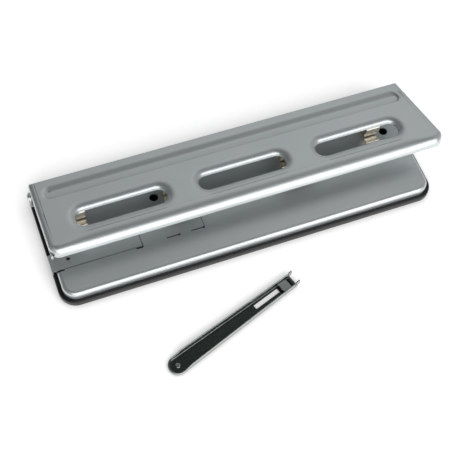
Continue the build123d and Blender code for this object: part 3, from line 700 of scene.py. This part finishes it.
def lever_sheet():
    """The lever's sheet with its bent edges, windows and groove, and the ear and tab on its left wall."""
    bm = bmesh.new()
    corners = [
        (LEVER_LEFT, LEVER_FRONT),
        (LEVER_RIGHT_FRONT, LEVER_FRONT),
        (LEVER_RIGHT_REAR, LEVER_REAR),
        (LEVER_LEFT, LEVER_REAR),
    ]
    radii = [LEVER_FRONT_CORNER, LEVER_FRONT_CORNER, LEVER_REAR_CORNER, LEVER_REAR_CORNER]
    outline = rounded_outline(corners, radii, 14)
    turn = outline.index(next(row for row in outline if row[0].x > 0))
    front = [(Vector((x, LEVER_FRONT)), Vector((0, -1))) for x in front_stations()]
    outside = chain_loops(bm, outline[:turn] + front + outline[turn:], lever_edge_section)
    tops, unders = [outside[0]], [outside[-1]]
    half_length, half_width = WINDOW_SIZE[0] / 2, WINDOW_SIZE[1] / 2
    for x in WINDOW_X:
        hole = rectangle(
            x - half_length, x + half_length, WINDOW_Y - half_width, WINDOW_Y + half_width, WINDOW_CORNER, 14
        )
        loops = chain_loops(bm, as_hole(hole), window_section)
        tops.append(loops[0])
        unders.append(loops[-1])
    channel = as_hole(rectangle(*GROOVE_X, *GROOVE_Y, (GROOVE_Y[1] - GROOVE_Y[0]) / 2 - 0.05, 14))
    upper = chain_loops(bm, channel, lambda *at: groove_section(*at, 0.0))
    lower = chain_loops(bm, channel, lambda *at: groove_section(*at, LEVER_SHEET))
    fill_between(bm, tops + [upper[0]], 1)
    fill_between(bm, [upper[-1]], 1)
    fill_between(bm, unders + [lower[0]], -1)
    fill_between(bm, [lower[-1]], -1)
    sheet = combine(solid(bm), [corner_tab(), ear_lug()], "UNION")
    bore = bmesh.new()
    plate(bore, circle(0, 0, PIN_BORE, 40), LEVER_LEFT - 2, LEVER_LEFT + 4, edge=0.05)
    sheet = combine(sheet, [solid(bore, FACE_X)], "DIFFERENCE")
    sheet.data.transform(lever_frame())
    return finish_piece(sheet, "lever_sheet", "lever", "silver_paint", SILVER, "lever_plate")


def ear_lug():
    """The round lug on the left wall that carries the hinge pin."""
    bm = bmesh.new()
    plate(bm, circle(0, 0, EAR_RADIUS, 48), LEVER_LEFT + 0.01, LEVER_LEFT + LEVER_SHEET, edge=0.2)
    return solid(bm, FACE_X)


def corner_tab():
    """The left wall runs on past the front corner as a short straight tab."""
    bm = bmesh.new()
    side = rectangle(TAB_FRONT, TAB_BACK, LEVER_SKIRT, TAB_TOP, 0.5, 5)
    plate(bm, side, LEVER_LEFT + 0.01, LEVER_LEFT + LEVER_SHEET, edge=0.2)
    return solid(bm, FACE_X)


# ---------------------------------------------------------------- base


def cover_sheet():
    """The pressed cover with its rolled edge, its holes, the guide's opening and the slits."""
    low, high = [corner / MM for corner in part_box("base_cover")]
    outline = rectangle(low.x, high.x, low.y, high.y, TRAY_CORNER - TRAY_WALL - COVER_GAP, 14)
    bm = bmesh.new()
    section = sheet_chain(high.z, COVER_SHEET, low.z, COVER_ROLL, COVER_ROLL, steps=12)
    loops = chain_loops(bm, outline, lambda *at: section)
    fill_between(bm, [loops[0]], 1)
    fill_between(bm, [loops[-1]], -1)
    cover = solid(bm)
    bottom = high.z - COVER_SHEET - 3
    top = high.z + 1
    cuts = []
    for x in PUNCH_X:
        cuts.append(circle(x, PUNCH_Y, CHIP_HOLE, 24))
    for x in TOOLING_X:
        cuts.append(circle(x, TOOLING_Y, TOOLING_HOLE, 40))
    cuts += guide_opening(low.x) + lanced_slits()
    cover = combine(cover, [cutter(cut, bottom, top) for cut in cuts], "DIFFERENCE")
    return finish_piece(cover, "base_cover_sheet", "chassis", "silver_paint", SILVER, "base_cover")


def relief(left, right, depth, radius):
    """A small notch in front of the guide's opening."""
    return rectangle(left, right, GUIDE_Y[0] - depth, GUIDE_Y[0], radius, 5)


def guide_opening(left):
    """The guide's slot from the cover's left edge, the way of its arm, and two notches."""
    gap = COVER_GAP
    return [
        block(left - 5, GUIDE_RIGHT + GUIDE_END_GAP, GUIDE_Y[0] - GUIDE_FRONT_GAP, GUIDE_Y[1] + gap),
        block(ARM_X[0] - GUIDE_TRAVEL - gap, ARM_X[1] + gap, GUIDE_Y[1] - gap, ARM_BACK + gap),
        relief(*RELIEF_LEFT, 0.7),
        relief(*RELIEF_RIGHT, 0.9),
    ]


def lanced_slits():
    """Two slits, each with an eye at its right end, and a short return from the end of the second."""
    end = SLITS_X[-1][1]
    slits = [block(end - SLIT_RETURN_WIDTH, end, SLIT_Y - SLIT_WIDTH, SLIT_RETURN_Y)]
    for left, right in SLITS_X:
        slits.append(block(left, right, SLIT_Y - SLIT_WIDTH, SLIT_Y))
        slits.append(circle(right - SLIT_EYE, SLIT_Y - SLIT_WIDTH / 2, SLIT_EYE, 20))
    return slits


def tray_section(bottom, rim):
    """From the underside round the outer wall and the rim to the floor inside."""
    chamfer = TRAY_FOOT_CHAMFER
    rows = [(-2 * chamfer, bottom), (-chamfer, bottom)]
    rows += [(-chamfer / 3, bottom + chamfer / 3), (0.0, bottom + chamfer)]
    for k in range(9):
        angle = math.pi * k / 8
        d = -TRAY_WALL / 2 + TRAY_WALL / 2 * math.cos(angle)
        rows.append((d, rim - TRAY_RIM_ROUND + TRAY_RIM_ROUND * math.sin(angle)))
    inner = TRAY_INNER_ROUND
    rows.append((-TRAY_WALL, TRAY_FLOOR + inner))
    rows.append((-TRAY_WALL - TRAY_INNER_BEVEL, TRAY_FLOOR + TRAY_INNER_BEVEL))
    rows += [(-TRAY_WALL - inner, TRAY_FLOOR), (-TRAY_WALL - inner - SUPPORT, TRAY_FLOOR)]
    return rows


def tray_moulding():
    """The tray, with shallow wells for the feet."""
    low, high = [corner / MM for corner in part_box("base_tray")]
    outline = rectangle(low.x, high.x, low.y, high.y, TRAY_CORNER, 16)
    bm = bmesh.new()
    loops = chain_loops(bm, outline, lambda *at: tray_section(low.z, high.z))
    fill_between(bm, [loops[0]], -1)
    fill_between(bm, [loops[-1]], 1)
    tray = solid(bm)
    foot_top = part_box("rubber_feet")[1].z / MM
    well_radius = FOOT_RADIUS + FOOT_WELL_GAP
    wells = [cutter(circle(x, y, well_radius, 48), low.z - 1, foot_top) for x, y in FOOT_PLACES]
    tray = combine(tray, wells, "DIFFERENCE")
    return finish_piece(tray, "base_tray_moulding", "tray", "black_plastic", PLASTIC, "base_tray")


def feet():
    """Stick-on feet with a rounded edge and a shallow dished face."""
    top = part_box("rubber_feet")[1].z / MM
    bm = bmesh.new()
    profile = [(0, top), (FOOT_RADIUS - 0.2, top), (FOOT_RADIUS, top - 0.2), (FOOT_RADIUS, FOOT_ROUND)]
    profile += [(FOOT_RADIUS - 0.2, 0.25), (FOOT_RADIUS - FOOT_ROUND, 0.0), (FOOT_RADIUS - 2.4, 0.0)]
    profile += [(FOOT_RADIUS - 2.9, 0.3), (FOOT_RADIUS - 3.6, FOOT_DISH), (0, FOOT_DISH)]
    for x, y in FOOT_PLACES:
        turned(bm, Matrix.Translation((x, y, 0)), profile, 48)
    return finish_piece(solid(bm), "moulded_feet", "tray", "rubber", RUBBER, "rubber_feet")


# ---------------------------------------------------------------- edge guide


def guide_sheet():
    """The plate with its wrap over the rim, and the arm, fence and tongue joined to it."""
    low, high = [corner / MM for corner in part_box("edge_guide")]
    cover_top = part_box("base_cover")[1].z / MM
    under = cover_top - COVER_SHEET
    side = [(low.x, low.z), (low.x + COVER_SHEET, low.z), (low.x + COVER_SHEET, under)]
    side += [(GUIDE_RIGHT, under), (GUIDE_RIGHT, cover_top), (low.x, cover_top)]
    inner_bend = 0.2
    outline = rounded_outline(side, [0.3, 0.3, inner_bend, 0.2, 0.2, GUIDE_BEND], 6)
    bm = bmesh.new()
    plate(bm, outline, GUIDE_Y[0], GUIDE_Y[1], edge=GUIDE_EDGE)
    guide = solid(bm, FACE_Y)
    arm = bmesh.new()
    plate(arm, rectangle(*ARM_X, GUIDE_Y[1] - 1, ARM_BACK, 0.6, 5), under, cover_top, edge=GUIDE_EDGE)
    fence = bmesh.new()
    fence_x = (ARM_X[1] - COVER_SHEET, ARM_X[1])
    fence_side = rectangle(FENCE_FRONT, ARM_BACK, under + 0.3, high.z, 0.8, 5)
    plate(fence, fence_side, *fence_x, edge=GUIDE_EDGE)
    tongue = bmesh.new()
    tongue_plan = rectangle(GUIDE_RIGHT - TONGUE_OVERLAP, high.x, *TONGUE_Y, 1.0, 5)
    plate(tongue, tongue_plan, TONGUE_BOTTOM, under - COVER_GAP, edge=GUIDE_EDGE)
    step = bmesh.new()
    step_plan = rectangle(GUIDE_RIGHT - TONGUE_OVERLAP, GUIDE_RIGHT - 0.3, *TONGUE_Y, 0.4, 3)
    plate(step, step_plan, TONGUE_BOTTOM + 0.2, under + 0.3, edge=GUIDE_EDGE)
    parts = [solid(arm), solid(fence, FACE_X), solid(tongue), solid(step)]
    guide = combine(guide, parts, "UNION")
    hole = circle(*GUIDE_HOLE, 24)
    guide = combine(guide, [cutter(hole, under - 1, cover_top + 1)], "DIFFERENCE")
    return finish_piece(guide, "edge_guide_sheet", "edge_guide", "silver_paint", SILVER, "edge_guide")


# ---------------------------------------------------------------- hand tool


def on_table():
    """The place of the hand tool on the table."""
    return Matrix.Translation((TOOL_X, TOOL_Y, 0)) @ Matrix.Rotation(TOOL_ANGLE, 4, "Z")


def tool_plan():
    """The tool's outline: a round end that tapers to a narrower one."""
    slope = math.asin((TOOL_ROUND - TOOL_HALF_WIDTH) / TOOL_LENGTH)
    start, end = math.pi / 2 - slope, 1.5 * math.pi + slope
    steps = 24
    outline = []
    for k in range(steps + 1):
        angle = start + (end - start) * k / steps
        normal = Vector((math.cos(angle), math.sin(angle)))
        outline.append((normal * TOOL_ROUND, normal))
    places = [2, 4, 6, 8, 10, 40, 80, TOOL_LENGTH + 6]
    for side, along in ((-1, places), (1, reversed(places))):
        normal = Vector((math.sin(slope), side * math.cos(slope)))
        end = Vector((TOOL_LENGTH, side * TOOL_HALF_WIDTH))
        start = normal * TOOL_ROUND
        for x in along:
            outline.append((start.lerp(end, (x - start.x) / (end.x - start.x)), normal))
    return outline


def tool_section(point, normal):
    """A U: round below, a rolled rim above, and a bend inside; its wall is lower round the end."""
    rise = ease_in_out((point.x - TOOL_RISE[0]) / (TOOL_RISE[1] - TOOL_RISE[0]))
    height = TOOL_LOW_END + (TOOL_HEIGHT - TOOL_LOW_END) * rise
    outer, inner = TOOL_OUTER_BEND, TOOL_INNER_BEND
    rows = [(-outer - SUPPORT, 0.0), (-outer, 0.0)]
    for k in range(1, 6):
        angle = math.pi / 2 * k / 5
        rows.append((-outer + outer * math.sin(angle), outer - outer * math.cos(angle)))
    half = TOOL_SHEET / 2
    for k in range(7):
        angle = math.pi * k / 6
        rows.append((-half + half * math.cos(angle), height - half + half * math.sin(angle)))
    centre = TOOL_SHEET + inner
    for k in range(7):
        angle = math.pi / 2 * k / 6
        rows.append((inner * math.cos(angle) - centre, centre - inner * math.sin(angle)))
    rows.append((-TOOL_SHEET - inner - SUPPORT, TOOL_SHEET))
    return rows


def tool_sheet():
    """The channel, with its slot and its open end, and the two prongs."""
    bm = bmesh.new()
    loops = chain_loops(bm, tool_plan(), tool_section)
    fill_between(bm, [loops[0]], -1)
    fill_between(bm, [loops[-1]], 1)
    channel = solid(bm)
    slot = rectangle(*TOOL_SLOT, *TOOL_SLOT_Y, 0.6, 6)
    open_end = block(TOOL_LENGTH, TOOL_LENGTH + 20, -10, 10)
    under_prongs = block(TOOL_PRONG_START, TOOL_LENGTH + 1, -10, 10)
    cuts = [cutter(slot, -1, TOOL_SHEET + 0.5), cutter(open_end, -1, 12)]
    cuts.append(cutter(under_prongs, -1, TOOL_PRONG_BOTTOM - 0.1))
    channel = combine(channel, cuts, "DIFFERENCE")
    prongs = []
    for side in (-1, 1):
        prong = bmesh.new()
        middle = side * (TOOL_HALF_WIDTH - TOOL_SHEET / 2 + 0.02)
        back = TOOL_PRONG_START - TOOL_PRONG_OVERLAP
        edge_on = rectangle(back, TOOL_LENGTH, TOOL_PRONG_BOTTOM, TOOL_PRONG_TOP, 0.9, 6)
        plate(prong, edge_on, middle - TOOL_SHEET / 2, middle + TOOL_SHEET / 2, edge=0.2)
        prongs.append(solid(prong, FACE_Y))
    channel = combine(channel, prongs, "UNION")
    channel.data.transform(on_table())
    return finish_piece(channel, "tool_channel_sheet", "hand_tool", "dark_chrome", CHROME, "tool_channel")


# ---------------------------------------------------------------- springs


def return_coil(number, x):
    """A compression spring with closed ends round its punch pin."""
    low, high = [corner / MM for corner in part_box(f"return_spring_{number}")]
    wire = SPRING_WIRE / 2
    radius = (high.x - low.x) / 2 - wire
    turns, dead, steps = SPRING_TURNS, SPRING_DEAD_TURNS, 28
    bm = bmesh.new()
    count = int((turns + 2 * dead) * steps)
    rings = []
    for i in range(count + 1):
        turn = i / steps
        climb = ease_in_out((turn - dead * 0.5) / (turns + dead))
        climb = 0.35 * climb + 0.65 * min(1.0, max(0.0, (turn - dead) / turns))
        z = low.z + wire + (high.z - low.z - 2 * wire) * climb
        angle = turn * math.tau
        out = Vector((math.cos(angle), math.sin(angle), 0))
        middle = Vector((x, PUNCH_Y, z)) + out * radius
        ring = []
        for k in range(8):
            around = k * math.tau / 8
            offset = out * wire * math.cos(around) + Vector((0, 0, wire * math.sin(around)))
            ring.append(bm.verts.new(middle + offset))
        if rings:
            bridge(bm, rings[-1], ring)
        rings.append(ring)
    bm.faces.new(rings[0])
    bm.faces.new(rings[-1])
    coil = solid(bm)
    name = f"return_coil_{number}"
    finish_piece(coil, name, "chassis", "spring_steel", SPRING, f"return_spring_{number}")
    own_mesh(coil)


# ---------------------------------------------------------------- carried-over nodes


def soften(obj, width=0.12):
    """Rounds the sharp edges of a carried-over node without touching its mesh."""
    weld = obj.modifiers.new("weld", "WELD")
    weld.merge_threshold = 0.002 * MM
    edges = obj.modifiers.new("edges", "BEVEL")
    edges.width = width * MM
    edges.segments = 2
    edges.limit_method = "ANGLE"
    edges.angle_limit = SMOOTH_ANGLE
    normals = obj.modifiers.new("normals", "WEIGHTED_NORMAL")
    normals.keep_sharp = False


def dress_nodes():
    """Gives every node of the frame the material that its slot names."""
    for name, obj in frame["nodes"].items():
        slot = obj.material_slots[0].material.name.split(".")[0]
        for material_slot in obj.material_slots:
            material_slot.material = SLOT_MATERIALS[slot]
        if not obj.hide_render:
            soften(obj)


# ---------------------------------------------------------------- stage, light and camera


def floor():
    """A plain pale table that glows a little, with a painted shadow darkening it close to what stands on it.
    """
    bm = bmesh.new()
    half = 2.5
    corners = [bm.verts.new((sx * half, sy * half, 0)) for sx, sy in ((-1, -1), (1, -1), (1, 1), (-1, 1))]
    bm.faces.new(corners)
    mesh = bpy.data.meshes.new("floor")
    bm.to_mesh(mesh)
    bm.free()
    obj = bpy.data.objects.new("floor", mesh)
    bpy.context.scene.collection.objects.link(obj)
    n = Nodes("floor_paper")
    paper = n.mix(n.remap(n.noise(3.0, 2.0), 0.0, 1.0), (0.86, 0.86, 0.86), (0.88, 0.88, 0.88))
    # Painted shadow: ambient occlusion darkens the paper's colour and its glow close to what stands on the
    # floor.
    contact_shadow = n.new("ShaderNodeAmbientOcclusion", samples=8)
    contact_shadow.inputs["Distance"].default_value = CONTACT_SHADOW_REACH
    tone = n.mix(n.remap(contact_shadow.outputs["AO"], 0.0, 1.0, 0.0, 1.0), (0.25, 0.24, 0.235), paper)
    n.link(tone, n.shader.inputs["Emission Color"])
    mesh.materials.append(n.surface(tone, None, None, Roughness=0.9, Emission_Strength=0.75))


def softbox(name, direction, distance, width, height, power):
    """An area light that looks at the object."""
    light = bpy.data.lights.new(name, "AREA")
    light.shape = "RECTANGLE"
    light.size = width
    light.size_y = height
    light.energy = power
    obj = bpy.data.objects.new(name, light)
    obj.location = Vector(direction).normalized() * distance
    obj.rotation_euler = (-obj.location).to_track_quat("-Z", "Y").to_euler()
    bpy.context.scene.collection.objects.link(obj)
    return obj


def room():
    """A dim studio: an even grey, with soft brighter and darker parts of the walls and ceiling."""
    world = bpy.data.worlds.new("studio")
    world.use_nodes = True
    bpy.context.scene.world = world
    tree = world.node_tree
    direction = tree.nodes.new("ShaderNodeTexCoord").outputs["Generated"]
    total = None
    for towards, start, end, strength in ROOM_LOBES:
        dot = tree.nodes.new("ShaderNodeVectorMath")
        dot.operation = "DOT_PRODUCT"
        dot.inputs[1].default_value = Vector(towards).normalized()
        tree.links.new(direction, dot.inputs[0])
        ramp = tree.nodes.new("ShaderNodeMapRange")
        ramp.interpolation_type = "SMOOTHSTEP"
        ramp.inputs["From Min"].default_value = start
        ramp.inputs["From Max"].default_value = end
        ramp.inputs["To Min"].default_value = 0.0
        ramp.inputs["To Max"].default_value = strength
        tree.links.new(dot.outputs["Value"], ramp.inputs["Value"])
        if total is None:
            total = ramp.outputs["Result"]
            continue
        add = tree.nodes.new("ShaderNodeMath")
        add.operation = "ADD"
        tree.links.new(total, add.inputs[0])
        tree.links.new(ramp.outputs["Result"], add.inputs[1])
        total = add.outputs["Value"]
    never_negative = tree.nodes.new("ShaderNodeMath")
    never_negative.operation = "MAXIMUM"
    never_negative.inputs[1].default_value = 0.0
    tree.links.new(total, never_negative.inputs[0])
    background = tree.nodes["Background"]
    background.inputs["Color"].default_value = (0.97, 0.99, 1.0, 1.0)
    tree.links.new(never_negative.outputs["Value"], background.inputs["Strength"])


def camera():
    """The camera, aimed at its target from a distance, and turned about its own axis by the roll."""
    data = bpy.data.cameras.new("camera")
    data.lens = CAMERA_LENS
    obj = bpy.data.objects.new("camera", data)
    bpy.context.scene.collection.objects.link(obj)
    a, e, roll = CAMERA_AZIMUTH, CAMERA_ELEVATION, CAMERA_ROLL
    back = Vector((math.sin(a) * math.cos(e), -math.cos(a) * math.cos(e), math.sin(e)))
    level = Vector((math.cos(a), math.sin(a), 0))
    upright = back.cross(level)
    right = level * math.cos(roll) + upright * math.sin(roll)
    up = upright * math.cos(roll) - level * math.sin(roll)
    obj.matrix_world = Matrix((right, up, back)).transposed().to_4x4()
    obj.location = CAMERA_TARGET + back * CAMERA_DISTANCE
    data.clip_start = 0.05
    data.clip_end = 20
    bpy.context.scene.camera = obj


lever_sheet()
cover_sheet()
tray_moulding()
feet()
guide_sheet()
tool_sheet()
for index, punch_x in enumerate(PUNCH_X, start=1):
    return_coil(index, punch_x)
dress_nodes()
floor()
softbox("key_softbox", (0.05, -0.80, 0.58), 1.3, 2.1, 1.1, 16)
softbox("front_fill", (0.10, -1.0, 0.14), 1.0, 1.2, 0.25, 1.4)
room()
camera()
bpy.context.scene.view_settings.view_transform = "Standard"
